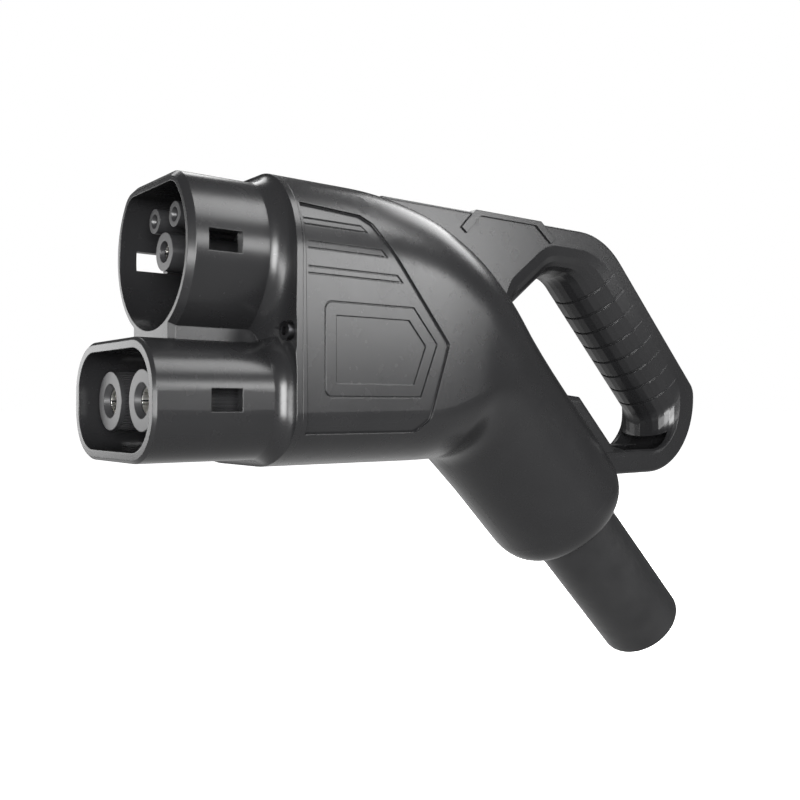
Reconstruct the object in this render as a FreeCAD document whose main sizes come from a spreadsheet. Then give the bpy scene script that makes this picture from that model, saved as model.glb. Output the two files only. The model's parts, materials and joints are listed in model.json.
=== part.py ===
import FreeCAD, Part
import math
import os

import Sketcher

from FreeCAD import Placement, Rotation, Vector

# Handheld charging connector with a loop grip and a cable tail.
# Frame: X along the plugging direction towards the cable, Z up, millimetres.
# The origin is the middle of the earth socket's mouth.

doc = FreeCAD.newDocument("ev_charging_connector")
sheet = doc.addObject("Spreadsheet::Sheet", "Sizes")

SIZES = [
    # contact layout and bores
    ("dc_spacing", 27.0), ("dc_drop", 51.24), ("pilot_spacing", 16.32), ("pilot_rise", 11.7),
    ("dc_bore", 8.1), ("pe_bore", 6.1), ("pilot_bore", 3.1),
    ("dc_barrel", 13.0), ("pe_barrel", 8.6), ("pilot_barrel", 5.2),
    ("contact_wall_gap", 0.1), ("contact_setback", 2.0), ("bore_depth", 36.0),
    ("collar_length", 2.2), ("collar_step", 1.6), ("crimp_length", 14.0), ("crimp_depth", 11.0),
    ("slit_width", 0.6), ("slit_length", 26.0),
    # sleeves round the contacts
    ("dc_sleeve", 20.3), ("pe_sleeve", 13.4), ("pilot_sleeve", 8.7),
    ("dc_mouth", 11.9), ("pe_mouth", 7.4), ("pilot_mouth", 5.0), ("mouth_depth", 1.6),
    ("dc_tip_x", -13.7), ("bore_lead", 0.5), ("pass_gap", 0.2), ("end_gap", 0.1),
    ("rib_count", 48), ("rib_gap", 0.6), ("rib_depth", 0.4), ("rib_setback", 1.6),
    # upper and lower shrouds
    ("ac_rim_x", -5.0), ("dc_rim_x", -18.5),
    ("ac_cavity_r", 27.4), ("ac_cavity_top", 20.8), ("ac_corner", 8.0), ("ac_wall", 3.6),
    ("dc_cavity_half", 30.8), ("dc_cavity_rise", 16.7), ("dc_corner", 13.8), ("dc_wall", 3.5),
    ("ac_rim_chamfer", 2.0), ("dc_rim_chamfer", 1.0),
    ("web_half", 16.0),
    ("ac_window_x", 1.4), ("ac_window_length", 12.0), ("ac_window_rise", 7.1),
    ("dc_window_x", 0.7), ("dc_window_length", 11.0), ("dc_window_rise", 7.4),
    ("ac_window_lift", 0.3), ("dc_window_lift", 0.1),
    ("flare_length", 6.2), ("flange_thick", 2.4), ("spigot_length", 8.3), ("spigot_wall", 2.6),
    ("floor_x", 30.0), ("insert_step_x", 34.2), ("insert_step", 1.4),
    ("gasket_width", 2.0), ("gasket_depth", 1.2), ("gasket_x", 33.0), ("gasket_gap", 0.05),
    ("gasket_squeeze", 0.1),
    # housing shells
    ("seam_x", 31.3), ("housing_half", 39.4), ("housing_top", 28.06), ("housing_bottom", -74.2),
    ("housing_wall", 3.0), ("spine_radius", 134.0),
    ("belly_radius", 18.0), ("neck_radius", 33.0), ("neck_step", 0.08), ("corner_flat", 0.1),
    ("neck_end_x", 201.9), ("neck_end_z", -103.94), ("neck_tilt", 45.0),
    ("neck_start", -45.0), ("neck_round_length", 12.3), ("neck_round_depth", 6.0),
    ("panel_depth", 1.0), ("panel_line_depth", 0.5), ("panel_line", 0.5), ("badge_border", 4.8),
    ("panel_from_y", 12.0),
    # loop grip
    ("grip_half", 17.5), ("grip_top", 27.9), ("grip_edge", 1.2), ("grip_wall", 3.0),
    ("grip_slope_sum", 240.0), ("grip_rear_x", 283.5), ("grip_low_z", -85.0),
    ("hole_front_x", 147.0), ("hole_top", 19.2), ("hole_slope_sum", 228.0), ("hole_rear_x", 271.3),
    ("hole_low_z", -76.6), ("hole_ramp", 26.0),
    ("crown_front", 8.0), ("crown_top", 12.0), ("crown_slope", 26.0), ("crown_rear", 10.0),
    ("crown_low", 5.0),
    ("grip_channel", 10.0), ("grip_channel_half", 14.3),
    ("groove_count", 8), ("groove_pitch", 9.82), ("groove_start", 147.4),
    ("groove_width", 1.3), ("groove_depth", 0.8), ("pad_proud", 0.8), ("pad_lip", 2.2),
    ("pad_front_x", 121.0), ("pad_back_x", 177.5), ("pad_front_fall", 8.0), ("pad_back_fall", 7.0),
    ("pad_front_ramp", 8.0), ("pad_back_ramp", 9.5), ("pad_slant", 3.0),
    ("root_half", 15.5), ("root_rise", 3.8), ("root_length", 52.0), ("root_ramp", 10.0),
    ("root_foot", 4.5), ("root_end", 4.0), ("root_edge", 3.0),
    # screws
    ("screw_d", 3.5), ("screw_head", 6.4), ("screw_head_rise", 2.4), ("screw_gap", 0.1),
    ("head_gap", 0.3), ("drive_share", 0.27), ("drive_depth_share", 0.6), ("boss_gap", 0.3),
    ("nose_head_proud", 0.3),
    ("housing_screw", 22.0), ("boss_d", 7.8), ("screw_seat", 7.0), ("screw_tip", 13.0),
    ("nose_screw_y", 34.5), ("nose_screw_z", -27.9), ("nose_screw", 16.0),
    ("retainer_screw", 9.0), ("retainer_boss", 8.0), ("clamp_screw", 20.0),
    # retainer behind the inserts
    ("retainer_thick", 3.0), ("retainer_gap", 0.4),
    # cable
    ("cable_d", 41.14), ("sheath_wall", 3.3), ("cable_tail", 82.0), ("sheath_start", -44.0),
    ("dc_core", 13.0), ("dc_wire", 9.6), ("pe_core", 8.5), ("pe_wire", 5.9),
    ("signal_core", 3.2), ("signal_wire", 1.8), ("core_gap", 0.1), ("strand_gap", 0.03),
    ("strip_gap", 0.6), ("sensor_lead_gap", 0.3), ("sensor_lead_y", 11.5),
    ("dc_core_y", 7.0), ("dc_core_lift", -4.0), ("pe_core_lift", 8.5),
    ("signal_core_y", 10.0), ("signal_core_lift", 8.2), ("sensor_core_y", 2.2),
    ("sensor_core_lift", -13.4), ("core_run", 22.0), ("filler_gap", 0.05), ("filler_setback", 4.0),
    ("clamp_length", 18.0), ("clamp_start", -40.0), ("clamp_split", 0.6),
    ("clamp_screw_y", 24.6), ("clamp_seat", 9.0), ("clamp_gap", 0.2),
    ("seal_collar", 4.0), ("seal_lip", 15.4), ("seal_mouth", 24.0), ("seal_gap", 0.1),
    ("seal_setback", 0.8),
    ("fit_gap", 0.15),
    # sensors and coding board
    ("sensor_length", 9.0), ("sensor_width", 5.0), ("sensor_thick", 3.0),
    ("sensor_setback", 0.5), ("board_length", 16.0), ("board_width", 11.0), ("board_thick", 1.6),
    ("resistor_length", 6.0), ("resistor_width", 3.0), ("resistor_rise", 2.0), ("resistor_place", 5.0),
]

for row, (alias, number) in enumerate(SIZES, start=1):
    sheet.set("A%d" % row, alias)
    sheet.set("B%d" % row, str(number))
    sheet.setAlias("B%d" % row, alias)
doc.recompute()


def size(expression):
    """Value of an expression written with the sheet's aliases after 'Sizes.'."""
    return float(sheet.evalExpression(expression))


class Sheet:
    """The sheet's cells as attributes."""

    def __getattr__(self, alias):
        return float(sheet.get(alias))


d = Sheet()
parts = []

AXIS_TURN = {
    "X": Rotation(Vector(0, 1, 0), 90),
    "Y": Rotation(Vector(1, 0, 0), -90),
    "Z": Rotation(),
}


def keep(obj, label):
    obj.Label = label
    parts.append(obj)
    return obj


# Expression-bound primitives

def at(obj, x, y, z):
    for axis, expression in zip("xyz", (x, y, z)):
        obj.setExpression("Placement.Base." + axis, expression)


def cylinder(name, diameter, length, x="0", y="0", z="0", axis="X"):
    obj = doc.addObject("Part::Cylinder", name)
    obj.Placement = Placement(Vector(), AXIS_TURN[axis])
    obj.setExpression("Radius", "(%s) / 2" % diameter)
    obj.setExpression("Height", length)
    at(obj, x, y, z)
    return obj


def cone(name, front_diameter, back_diameter, length, x, y, z):
    obj = doc.addObject("Part::Cone", name)
    obj.Placement = Placement(Vector(), AXIS_TURN["X"])
    obj.setExpression("Radius1", "(%s) / 2" % front_diameter)
    obj.setExpression("Radius2", "(%s) / 2" % back_diameter)
    obj.setExpression("Height", length)
    at(obj, x, y, z)
    return obj


def box(name, length, width, height, x, y, z):
    obj = doc.addObject("Part::Box", name)
    obj.setExpression("Length", length)
    obj.setExpression("Width", width)
    obj.setExpression("Height", height)
    at(obj, x, y, z)
    return obj


def fuse(name, shapes):
    obj = doc.addObject("Part::MultiFuse", name)
    obj.Shapes = shapes
    return obj


def cut(name, base, tools):
    tool = tools[0] if len(tools) == 1 else fuse(name + "_tools", tools)
    obj = doc.addObject("Part::Cut", name)
    obj.Base = base
    obj.Tool = tool
    return obj


def solid_feature(name, shape):
    obj = doc.addObject("Part::Feature", name)
    obj.Shape = shape
    return obj


# Outlines

# How far along its tangents a cubic curve's inner poles lie for a quarter of an ellipse
QUARTER_HUG = 4 / 3 * (math.sqrt(2) - 1)


def line(a, b):
    return Part.LineSegment(a, b).toShape()


def arc(a, middle, b):
    return Part.Arc(a, middle, b).toShape()


def quarter(start, corner, end):
    """Quarter of an ellipse between two tangents that meet in the corner."""
    bezier = Part.BezierCurve()
    inner = [spot + (corner - spot) * QUARTER_HUG for spot in (start, end)]
    bezier.setPoles([start] + inner + [end])
    return bezier.toShape()


def plane_yz(x):
    return lambda a, b: Vector(x, a, b)


def plane_xz(y):
    return lambda a, b: Vector(a, y, b)


def rounded_polygon(corners, plane):
    """Closed wire through corners (a, b, radius), each rounded by a tangent arc."""
    points = [Vector(a, b, 0) for a, b, radius in corners]
    edges = []
    last = None
    first = None
    for index, (a, b, radius) in enumerate(corners):
        corner = points[index]
        back = (points[index - 1] - corner).normalize()
        ahead = (points[(index + 1) % len(points)] - corner).normalize()
        opening = back.getAngle(ahead)
        reach = radius / math.tan(opening / 2)
        start = corner + back * reach
        end = corner + ahead * reach
        centre = corner + (back + ahead).normalize() * (radius / math.sin(opening / 2))
        middle = centre + (corner - centre).normalize() * radius
        places = [plane(p.x, p.y) for p in (start, middle, end)]
        if last is not None:
            edges.append(line(last, places[0]))
        else:
            first = places[0]
        edges.append(arc(*places))
        last = places[2]
    edges.append(line(last, first))
    return Part.Wire(edges)


def prism(wire, travel):
    return Part.Face(wire).extrude(travel)


def ac_wire(x, radius, top, corner):
    """Circle round the earth socket's axis with a flat top and rounded corners."""
    plane = plane_yz(x)
    side = math.sqrt((radius - corner) ** 2 - (top - corner) ** 2)
    lean = math.atan2(side, top - corner)
    touch = (radius * math.sin(lean), radius * math.cos(lean))
    half = (side + corner * math.sin(lean / 2), top - corner + corner * math.cos(lean / 2))
    flank = (lean + math.pi) / 2
    flank = (radius * math.sin(flank), radius * math.cos(flank))
    edges = [
        line(plane(-side, top), plane(side, top)),
        arc(plane(side, top), plane(*half), plane(*touch)),
        arc(plane(*touch), plane(*flank), plane(0, -radius)),
        arc(plane(0, -radius), plane(-flank[0], flank[1]), plane(-touch[0], touch[1])),
        arc(plane(-touch[0], touch[1]), plane(-half[0], half[1]), plane(-side, top)),
    ]
    return Part.Wire(edges)


def dc_wire(x, half, rise, corner):
    signs = [(1, 1), (1, -1), (-1, -1), (-1, 1)]
    corners = [(half * side, rise * level - d.dc_drop, corner) for side, level in signs]
    return rounded_polygon(corners, plane_yz(x))


def ac_prism(grow, x0, x1):
    wire = ac_wire(x0, d.ac_cavity_r + grow, d.ac_cavity_top + grow, d.ac_corner + grow)
    return prism(wire, Vector(x1 - x0, 0, 0))


def dc_prism(grow, x0, x1):
    wire = dc_wire(x0, d.dc_cavity_half + grow, d.dc_cavity_rise + grow, d.dc_corner + grow)
    return prism(wire, Vector(x1 - x0, 0, 0))


def body_wire(plane, top, bottom, half, top_corner, bottom_corner, inset=0.0, one_side=False):
    """Section of the housing: straight sides joined by quarter ellipses."""
    top = top - inset
    bottom = bottom + inset
    half = half - inset
    top_y, top_z = [value - inset for value in top_corner]
    low_y, low_z = [value - inset for value in bottom_corner]
    corners = [
        ((half - top_y, top), (half, top), (half, top - top_z)),
        ((half, bottom + low_z), (half, bottom), (half - low_y, bottom)),
        ((low_y - half, bottom), (-half, bottom), (-half, bottom + low_z)),
        ((-half, top - top_z), (-half, top), (top_y - half, top)),
    ]
    if one_side:
        corners = corners[:2]
    edges = []
    for index, (start, corner, end) in enumerate(corners):
        p0, p1, p2 = [plane(*point) for point in (start, corner, end)]
        edges.append(quarter(p0, p1, p2))
        if index + 1 < len(corners):
            edges.append(line(p2, plane(*corners[index + 1][0])))
    if one_side:
        edges.append(line(p2, plane(0, bottom)))
        edges.append(line(plane(0, bottom), plane(0, top)))
        edges.append(line(plane(0, top), plane(*corners[0][0])))
    else:
        edges.append(line(p2, plane(*corners[0][0])))
    return Part.Wire(edges)


# Housing form

TILT = math.radians(d.neck_tilt)
NECK_END = Vector(d.neck_end_x, 0, d.neck_end_z)
NECK_TURN = Rotation(Vector(0, 1, 0), d.neck_tilt)


def in_neck(shape):
    """Turns a shape made along X from the origin so that it lies along the neck."""
    turned = shape.copy()
    turned.Placement = Placement(NECK_END, NECK_TURN)
    return turned


def neck_point(along, y, lift):
    return NECK_END + NECK_TURN.multVec(Vector(along, y, lift))


def bend_start(level, radius, lift):
    """Where a level line starts to turn down, with a radius, into the neck's line at a lift."""
    slope = neck_point(0, 0, lift)
    corner_x = slope.x + (slope.z - level) / math.tan(TILT)
    return corner_x - radius * math.tan(TILT / 2)


def bent_line(level, radius, lift):
    """Side view of the body's upper or lower line: level, an arc, then parallel to the neck.

    Returns a function that gives the point a stated run behind the seam.
    """
    start_x = bend_start(level, radius, lift)
    straight = start_x - d.seam_x

    def point(run):
        if run <= straight:
            return Vector(d.seam_x + run, 0, level)
        turned = min((run - straight) / radius, TILT)
        spot = Vector(start_x + radius * math.sin(turned), 0, level - radius * (1 - math.cos(turned)))
        past = max(0.0, run - straight - radius * TILT)
        return spot + Vector(past * math.cos(TILT), 0, -past * math.sin(TILT))

    return point


def run_to(spot, level, radius):
    """Run of such a line to a point on its last, sloping part."""
    lift = NECK_TURN.inverted().multVec(spot - NECK_END).z
    start_x = bend_start(level, radius, lift)
    turned_x = start_x + radius * math.sin(TILT)
    return start_x - d.seam_x + radius * TILT + (spot.x - turned_x) / math.cos(TILT)


# How the body's section changes with the run of its upper line behind the seam
BELLY_RUN = [(0, 0), (31, 31), (62, 58), (92, 76), (118, 88), (140, 98.5), (163, 111)]
HALF_WIDTH_LOSS = [(0, 0), (62, 0), (92, 0.5), (118, 2.4), (140, 4.4), (163, 5.9)]
TOP_CORNER_WIDTH = [(0, 24), (62, 25), (92, 28), (118, 31), (140, 33.2), (163, 33.1)]
TOP_CORNER_HEIGHT = [(0, 30), (62, 31), (92, 33), (118, 35), (140, 35), (163, 33.7)]
LOW_CORNER_WIDTH = [(0, 26), (62, 26), (92, 29), (118, 33), (140, 33.5), (163, 32.9)]
LOW_CORNER_HEIGHT = [(0, 19), (62, 20), (92, 26), (118, 33), (140, 34), (163, 32.6)]
BODY_SECTIONS = 30


def eased(keys, place):
    """Value at a place on a smooth curve through keys that never overshoots them."""
    spans = list(zip(keys, keys[1:]))
    slopes = [(b[1] - a[1]) / (b[0] - a[0]) for a, b in spans]
    tangents = [slopes[0]]
    for before, after in zip(slopes, slopes[1:]):
        tangents.append(2 * before * after / (before + after) if before * after > 0 else 0.0)
    tangents.append(slopes[-1])
    index = max(k for k in range(len(spans)) if place >= keys[k][0] or k == 0)
    (x0, y0), (x1, y1) = spans[index]
    width = x1 - x0
    share = min(1.0, (place - x0) / width)
    return (y0 * (1 + 2 * share) * (1 - share) ** 2 + y1 * share ** 2 * (3 - 2 * share)
            + width * share * (1 - share) * (tangents[index] * (1 - share) - tangents[index + 1] * share))


def body_loft(inset):
    """The +Y half of the housing's body, which narrows and turns down into the round neck."""
    slim = d.neck_radius + d.neck_step
    corner = slim - d.corner_flat
    spine = bent_line(d.housing_top, d.spine_radius, slim)
    belly = bent_line(d.housing_bottom, d.belly_radius, -slim)
    neck_runs = []
    for along in (d.neck_start, -d.neck_round_length):
        neck_runs.append((run_to(neck_point(along, 0, slim), d.housing_top, d.spine_radius),
                          run_to(neck_point(along, 0, -slim), d.housing_bottom, d.belly_radius)))
    last = neck_runs[-1][0]

    def follow(keys, end):
        return keys + [(run, end) for run, low_run in neck_runs]

    wires = []
    for step in range(BODY_SECTIONS + 1):
        run = last * step / BODY_SECTIONS
        top = spine(run)
        low = belly(eased(BELLY_RUN + neck_runs, run))
        half = d.housing_half - eased(follow(HALF_WIDTH_LOSS, d.housing_half - slim), run)
        top_corner = [eased(follow(keys, corner), run) for keys in (TOP_CORNER_WIDTH, TOP_CORNER_HEIGHT)]
        low_corner = [eased(follow(keys, corner), run) for keys in (LOW_CORNER_WIDTH, LOW_CORNER_HEIGHT)]
        rise = (top - low).normalize()
        wires.append(body_wire(lambda a, b: low + rise * b + Vector(0, a, 0), top.distanceToPoint(low),
                               0.0, half, top_corner, low_corner, inset, True))
    return Part.makeLoft(wires, True, False)


def neck_form():
    """The +Y half of the neck's rounded end, along its own axis."""
    radius = d.neck_radius
    shoulder = Vector(-d.neck_round_length, 0, radius)
    rim = Vector(0, 0, radius - d.neck_round_depth)
    middle = Vector(-d.neck_round_length, 0, 0)
    edges = [
        line(middle, shoulder),
        quarter(shoulder, Vector(0, 0, radius), rim),
        line(rim, Vector()),
        line(Vector(), middle),
    ]
    face = Part.Face(Part.Wire(edges))
    return in_neck(face.revolve(Vector(), Vector(-1, 0, 0), 180))


def grip_outline(y, inset=0.0):
    """Outer line of the loop grip; the left side lies inside the body."""
    top = d.grip_top - inset
    slope = d.grip_slope_sum - inset * math.sqrt(2)
    rear = d.grip_rear_x - inset
    low = d.grip_low_z + inset
    corners = [
        (72 + inset, top, 4),
        (slope - top, top, 41 - inset),
        (rear, slope - rear, 9 - 0.45 * inset),
        (rear, low, 37 - 1.2 * inset),
        (200 + inset, low, 3),
        (128 + inset, -28, 3),
    ]
    return rounded_polygon(corners, plane_xz(y))


def hole_outline(y, crown):
    """Opening of the loop at height y; crown is 0 on the side faces and 1 in the middle."""
    front = d.hole_front_x + d.crown_front * crown
    top = d.hole_top - d.crown_top * crown
    slope = d.hole_slope_sum - d.crown_slope * crown
    rear = d.hole_rear_x - d.crown_rear * crown
    low = d.hole_low_z + d.crown_low * crown
    corners = [
        (front, top - d.hole_ramp * 0.77, 16 - 6 * crown),
        (front + d.hole_ramp, top, 20 - 8 * crown),
        (slope - top, top, 36 - 26 * crown),
        (rear, slope - rear, 9 - 2 * crown),
        (rear, low, 26 - 22 * crown),
        (196 + 6 * crown, low, 3),
        (front, -44, 3),
    ]
    return rounded_polygon(corners, plane_xz(y))


# Places across the loop, as shares of its half thickness, where its opening is cut as a section
CROWN_SHARES = (0, 0.2, 0.4, 0.58, 0.73, 0.85, 0.94, 1)


def crown_wires():
    """Sections of the opening from the middle to one side face, following a quarter ellipse."""
    return [hole_outline(share * d.grip_half, math.sqrt(1 - share ** 2)) for share in CROWN_SHARES]


def hole_form():
    """Tool for the opening: its walls bulge inwards, so the grip is rounded for the hand."""
    form = Part.makeLoft(crown_wires(), True, True)
    form = form.fuse(prism(hole_outline(d.grip_half, 0.0), Vector(0, 6, 0)))
    return form.fuse(prism(hole_outline(0, 1.0), Vector(0, -6, 0)))


def grip_form():
    """The +Y half of the loop: a thick plate with a rounded edge and the hand opening."""
    plate = prism(grip_outline(0), Vector(0, d.grip_half, 0))
    rims = [edge for edge in plate.Edges if edge.CenterOfMass.y > d.grip_half - 0.01]
    plate = plate.makeFillet(d.grip_edge, rims)
    return plate.cut(hole_form())


def grip_grooves():
    """Finger grooves across the inside of the rear arm."""
    deeper = Part.makeLoft(crown_wires(), True, True)
    deeper = deeper.fuse(prism(hole_outline(0, 1.0), Vector(0, -6, 0)))
    deeper.translate(Vector(d.groove_depth, 0, d.groove_depth))
    slabs = []
    for index in range(int(d.groove_count)):
        along = d.groove_start + index * d.groove_pitch
        slab = Part.makeBox(60, 60, d.groove_width)
        slab.translate(Vector(-30, -30, -d.groove_width / 2))
        centre = d.grip_slope_sum / 2 - d.crown_top
        spot = Vector(centre + along / math.sqrt(2), 0, centre - along / math.sqrt(2))
        slab.Placement = Placement(spot, Rotation(Vector(0, 1, 0), 135)).multiply(slab.Placement)
        slabs.append(slab)
    return deeper.common(Part.makeCompound(slabs))


def grip_pad():
    """Thin raised saddle over the top of the arm, with sloping ends."""
    top = d.grip_top + d.pad_proud
    edge = 0.4
    upper = [(d.pad_front_x, top - d.pad_front_fall), (d.pad_front_x + d.pad_front_ramp, top),
             (d.pad_back_x - d.pad_back_ramp, top), (d.pad_back_x, top - d.pad_back_fall)]
    shifts = [d.pad_slant, d.pad_slant, -d.pad_slant, -d.pad_slant]
    lower = [(x + shift, z - d.pad_lip) for (x, z), shift in zip(upper, shifts)]
    corners = [(x, z, edge) for x, z in upper + lower[::-1]]
    return prism(rounded_polygon(corners, plane_xz(0)), Vector(0, d.grip_half + d.pad_proud, 0))


def grip_root():
    """Low rib along the top of the neck, where the loop comes down to it."""
    top = d.neck_radius + d.root_rise
    start = -d.root_length
    inside = d.neck_radius - 13
    points = [Vector(start - d.root_end, 0, inside), Vector(start, 0, d.neck_radius - d.root_foot),
              Vector(start + d.root_ramp, 0, top), Vector(-d.root_end, 0, top),
              Vector(-d.root_end, 0, inside)]
    face = Part.Face(Part.makePolygon(points + points[:1]))
    rib = face.extrude(Vector(0, d.root_half, 0))
    ridges = [edge for edge in rib.Edges
              if abs(edge.CenterOfMass.y - d.root_half) < 0.01 and edge.CenterOfMass.z > d.neck_radius - 3]
    return in_neck(rib.makeFillet(d.root_edge, ridges))


def outer_form():
    """The +Y half of the housing as one solid."""
    form = body_loft(0.0).fuse(neck_form())
    form = form.fuse(grip_form())
    form = form.fuse(grip_pad())
    form = form.fuse(grip_root())
    return form.cut(grip_grooves())


inner_bodies = {}


def panel_cut(shape, depth):
    """Part of a side column that lies less than depth below the body's surface."""
    if depth not in inner_bodies:
        inner_bodies[depth] = body_loft(depth)
    return shape.cut(inner_bodies[depth])


def column(corners):
    return prism(rounded_polygon(corners, plane_xz(d.panel_from_y)), Vector(0, d.housing_half, 0))


# Side view of the marks, each corner with its radius; a slot is front x, top z, back x and rise
PANEL = [(32.2, 15.7, 0.4), (57.0, 14.2, 3), (62.0, 11.5, 3), (96.0, -30.0, 1.5), (86.6, -58.0, 4),
         (81.4, -62.6, 4), (33.2, -62.6, 0.4)]
BADGE = [(40.4, -17.2, 3.0), (79.4, -17.1, 0.8), (90.6, -30.1, 0.8), (82.6, -50.0, 0.8),
         (40.4, -50.1, 3.0)]
SLOTS = [(33.0, 10.4, 57.2, 2.6), (33.8, 2.5, 65.0, 2.8), (34.0, -6.0, 71.8, 2.8)]


def shrink(corners, inset):
    """Offsets a convex outline inwards by moving each corner along its bisector."""
    moved = []
    for index, (a, b, radius) in enumerate(corners):
        corner = Vector(a, b, 0)
        before = corners[index - 1]
        after = corners[(index + 1) % len(corners)]
        back = (Vector(before[0], before[1], 0) - corner).normalize()
        ahead = (Vector(after[0], after[1], 0) - corner).normalize()
        opening = back.getAngle(ahead)
        spot = corner + (back + ahead).normalize() * (inset / math.sin(opening / 2))
        moved.append((spot.x, spot.y, max(0.3, radius - inset)))
    return moved


def side_marks():
    """Recessed side panel with its badge plate and three open-ended slot lines."""
    deep = d.panel_depth + d.panel_line_depth
    lines = [column(BADGE).cut(column(shrink(BADGE, d.panel_line))),
             column(shrink(BADGE, d.badge_border))]
    for x0, top, x1, rise in SLOTS:
        slot = [(x0, top, 0.2), (x1, top, 0.2), (x1 + rise, top - rise, 0.2), (x0, top - rise, 0.2)]
        inner = shrink(slot, d.panel_line)
        inner[0] = (x0 - 2, inner[0][1], 0.2)
        inner[-1] = (x0 - 2, inner[-1][1], 0.2)
        lines.append(column(slot).cut(column(inner)))
    return [panel_cut(column(PANEL), d.panel_depth)] + [panel_cut(shape, deep) for shape in lines]


# Screw places in the housing, seen from the side

BODY_SCREWS = [(60.0, 18.6), (101.4, -66.0)]
GRIP_SCREWS = [(150.0, 20.6), (238.0, -9.5), (271.5, -62.0)]
NECK_SCREW_LIFT = 25.3
NECK_SCREW_ALONG = -51.0


def screw_places():
    places = [Vector(x, 0, z) for x, z in BODY_SCREWS + GRIP_SCREWS]
    places.append(neck_point(NECK_SCREW_ALONG, 0, NECK_SCREW_LIFT))
    places.append(neck_point(NECK_SCREW_ALONG, 0, -NECK_SCREW_LIFT))
    return places


def y_cylinder(radius, place, y0, y1):
    return Part.makeCylinder(radius, y1 - y0, Vector(place.x, y0, place.z), Vector(0, 1, 0))


# Side view of the stretch of the loop that is hollow, clear of the body and the neck
HOLLOW_ARM = [(126, 40), (300, 40), (300, -100), (256, -100), (126, 30), (126, 40)]


def housing_hollow():
    """Inside of the housing's +Y half, and the channel inside the loop."""
    mouth = Part.makeCylinder(d.seal_mouth, d.neck_round_length + 2,
                              Vector(-d.neck_round_length - 1, 0, 0), Vector(1, 0, 0))
    hollow = body_loft(d.housing_wall).fuse(in_neck(mouth))
    channel = prism(grip_outline(0, d.grip_wall), Vector(0, d.grip_channel_half, 0))
    core = prism(grip_outline(0, d.grip_wall + d.grip_channel), Vector(0, d.grip_channel_half, 0))
    clear = prism(Part.makePolygon([Vector(x, 0, z) for x, z in HOLLOW_ARM]), Vector(0, d.housing_half, 0))
    return hollow, channel.cut(core).common(clear)


def nose_boss(side, grow=0.0):
    """Boss behind the seam that takes a nose screw."""
    place = Vector(d.seam_x, side * d.nose_screw_y, d.nose_screw_z)
    return Part.makeCylinder(d.boss_d / 2 + grow, d.nose_screw + 2, place, Vector(1, 0, 0))


def half_shell():
    """The +Y shell with its bosses and side marks, before the screw holes."""
    outer = outer_form()
    hollow, channel = housing_hollow()
    shell = outer.cut(hollow).cut(channel)
    bosses = [y_cylinder(d.boss_d / 2, place, 0, 60) for place in screw_places()] + [nose_boss(1)]
    shell = shell.fuse([boss.common(outer) for boss in bosses])
    shell = shell.cut(side_marks())
    hole = Part.makeCylinder(d.screw_d / 2 + d.screw_gap, d.nose_screw + 0.5,
                             Vector(d.seam_x - 1, d.nose_screw_y, d.nose_screw_z), Vector(1, 0, 0))
    return biggest(shell.cut(hole))


def biggest(shape):
    return max(shape.Solids, key=lambda solid: solid.Volume)


def make_housings():
    """Two shells that meet on the middle plane; the screws enter from the +Y side."""
    shell = half_shell()
    hole = d.screw_d / 2 + d.screw_gap
    left = shell.mirror(Vector(), Vector(0, 1, 0))
    left = left.cut([y_cylinder(hole, place, -d.screw_tip - 2, 1) for place in screw_places()])
    right = shell.cut([y_cylinder(hole, place, -1, d.screw_seat + 1) for place in screw_places()])
    right = right.cut([y_cylinder(d.screw_head / 2 + d.head_gap, place, d.screw_seat, 60)
                       for place in screw_places()])
    keep(solid_feature("housing_left", biggest(left)), "housing_left")
    keep(solid_feature("housing_right", biggest(right)), "housing_right")


# Nose

# Share of the flare's length and of its growth, from just inside the shroud to inside the flange
FLARE_STATIONS = [(0.0, -0.02), (0.5, 0.134), (0.8, 0.4), (0.95, 0.688), (1.0, 1.0), (1.1, 2.0)]


def ac_flare():
    radius = d.ac_cavity_r + d.ac_wall
    top = d.ac_cavity_top + d.ac_wall
    corner = d.ac_corner + d.ac_wall
    start = d.seam_x - d.flange_thick - d.flare_length
    wires = [ac_wire(start + run * d.flare_length, radius + grow * (d.housing_half - radius),
                     top + grow * (d.housing_top - top), corner + grow * 8) for run, grow in FLARE_STATIONS]
    return Part.makeLoft(wires, True, False)


def dc_flare():
    half = d.dc_cavity_half + d.dc_wall
    rise = d.dc_cavity_rise + d.dc_wall
    corner = d.dc_corner + d.dc_wall
    start = d.seam_x - d.flange_thick - d.flare_length
    wires = [dc_wire(start + run * d.flare_length, half + grow * (d.housing_half - half),
                     rise + grow * 3.0, corner + grow * 2) for run, grow in FLARE_STATIONS]
    return Part.makeLoft(wires, True, False)


def front_outline(x, inset=0.0):
    """The body's section at the seam."""
    top_corner = (TOP_CORNER_WIDTH[0][1], TOP_CORNER_HEIGHT[0][1])
    low_corner = (LOW_CORNER_WIDTH[0][1], LOW_CORNER_HEIGHT[0][1])
    return body_wire(plane_yz(x), d.housing_top, d.housing_bottom, d.housing_half, top_corner, low_corner,
                     inset)


def rim_edges(shape, x):
    """Edges that lie in the plane at x."""
    return [edge for edge in shape.Edges
            if abs(edge.BoundBox.XMin - x) < 0.01 and abs(edge.BoundBox.XMax - x) < 0.01]


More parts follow.
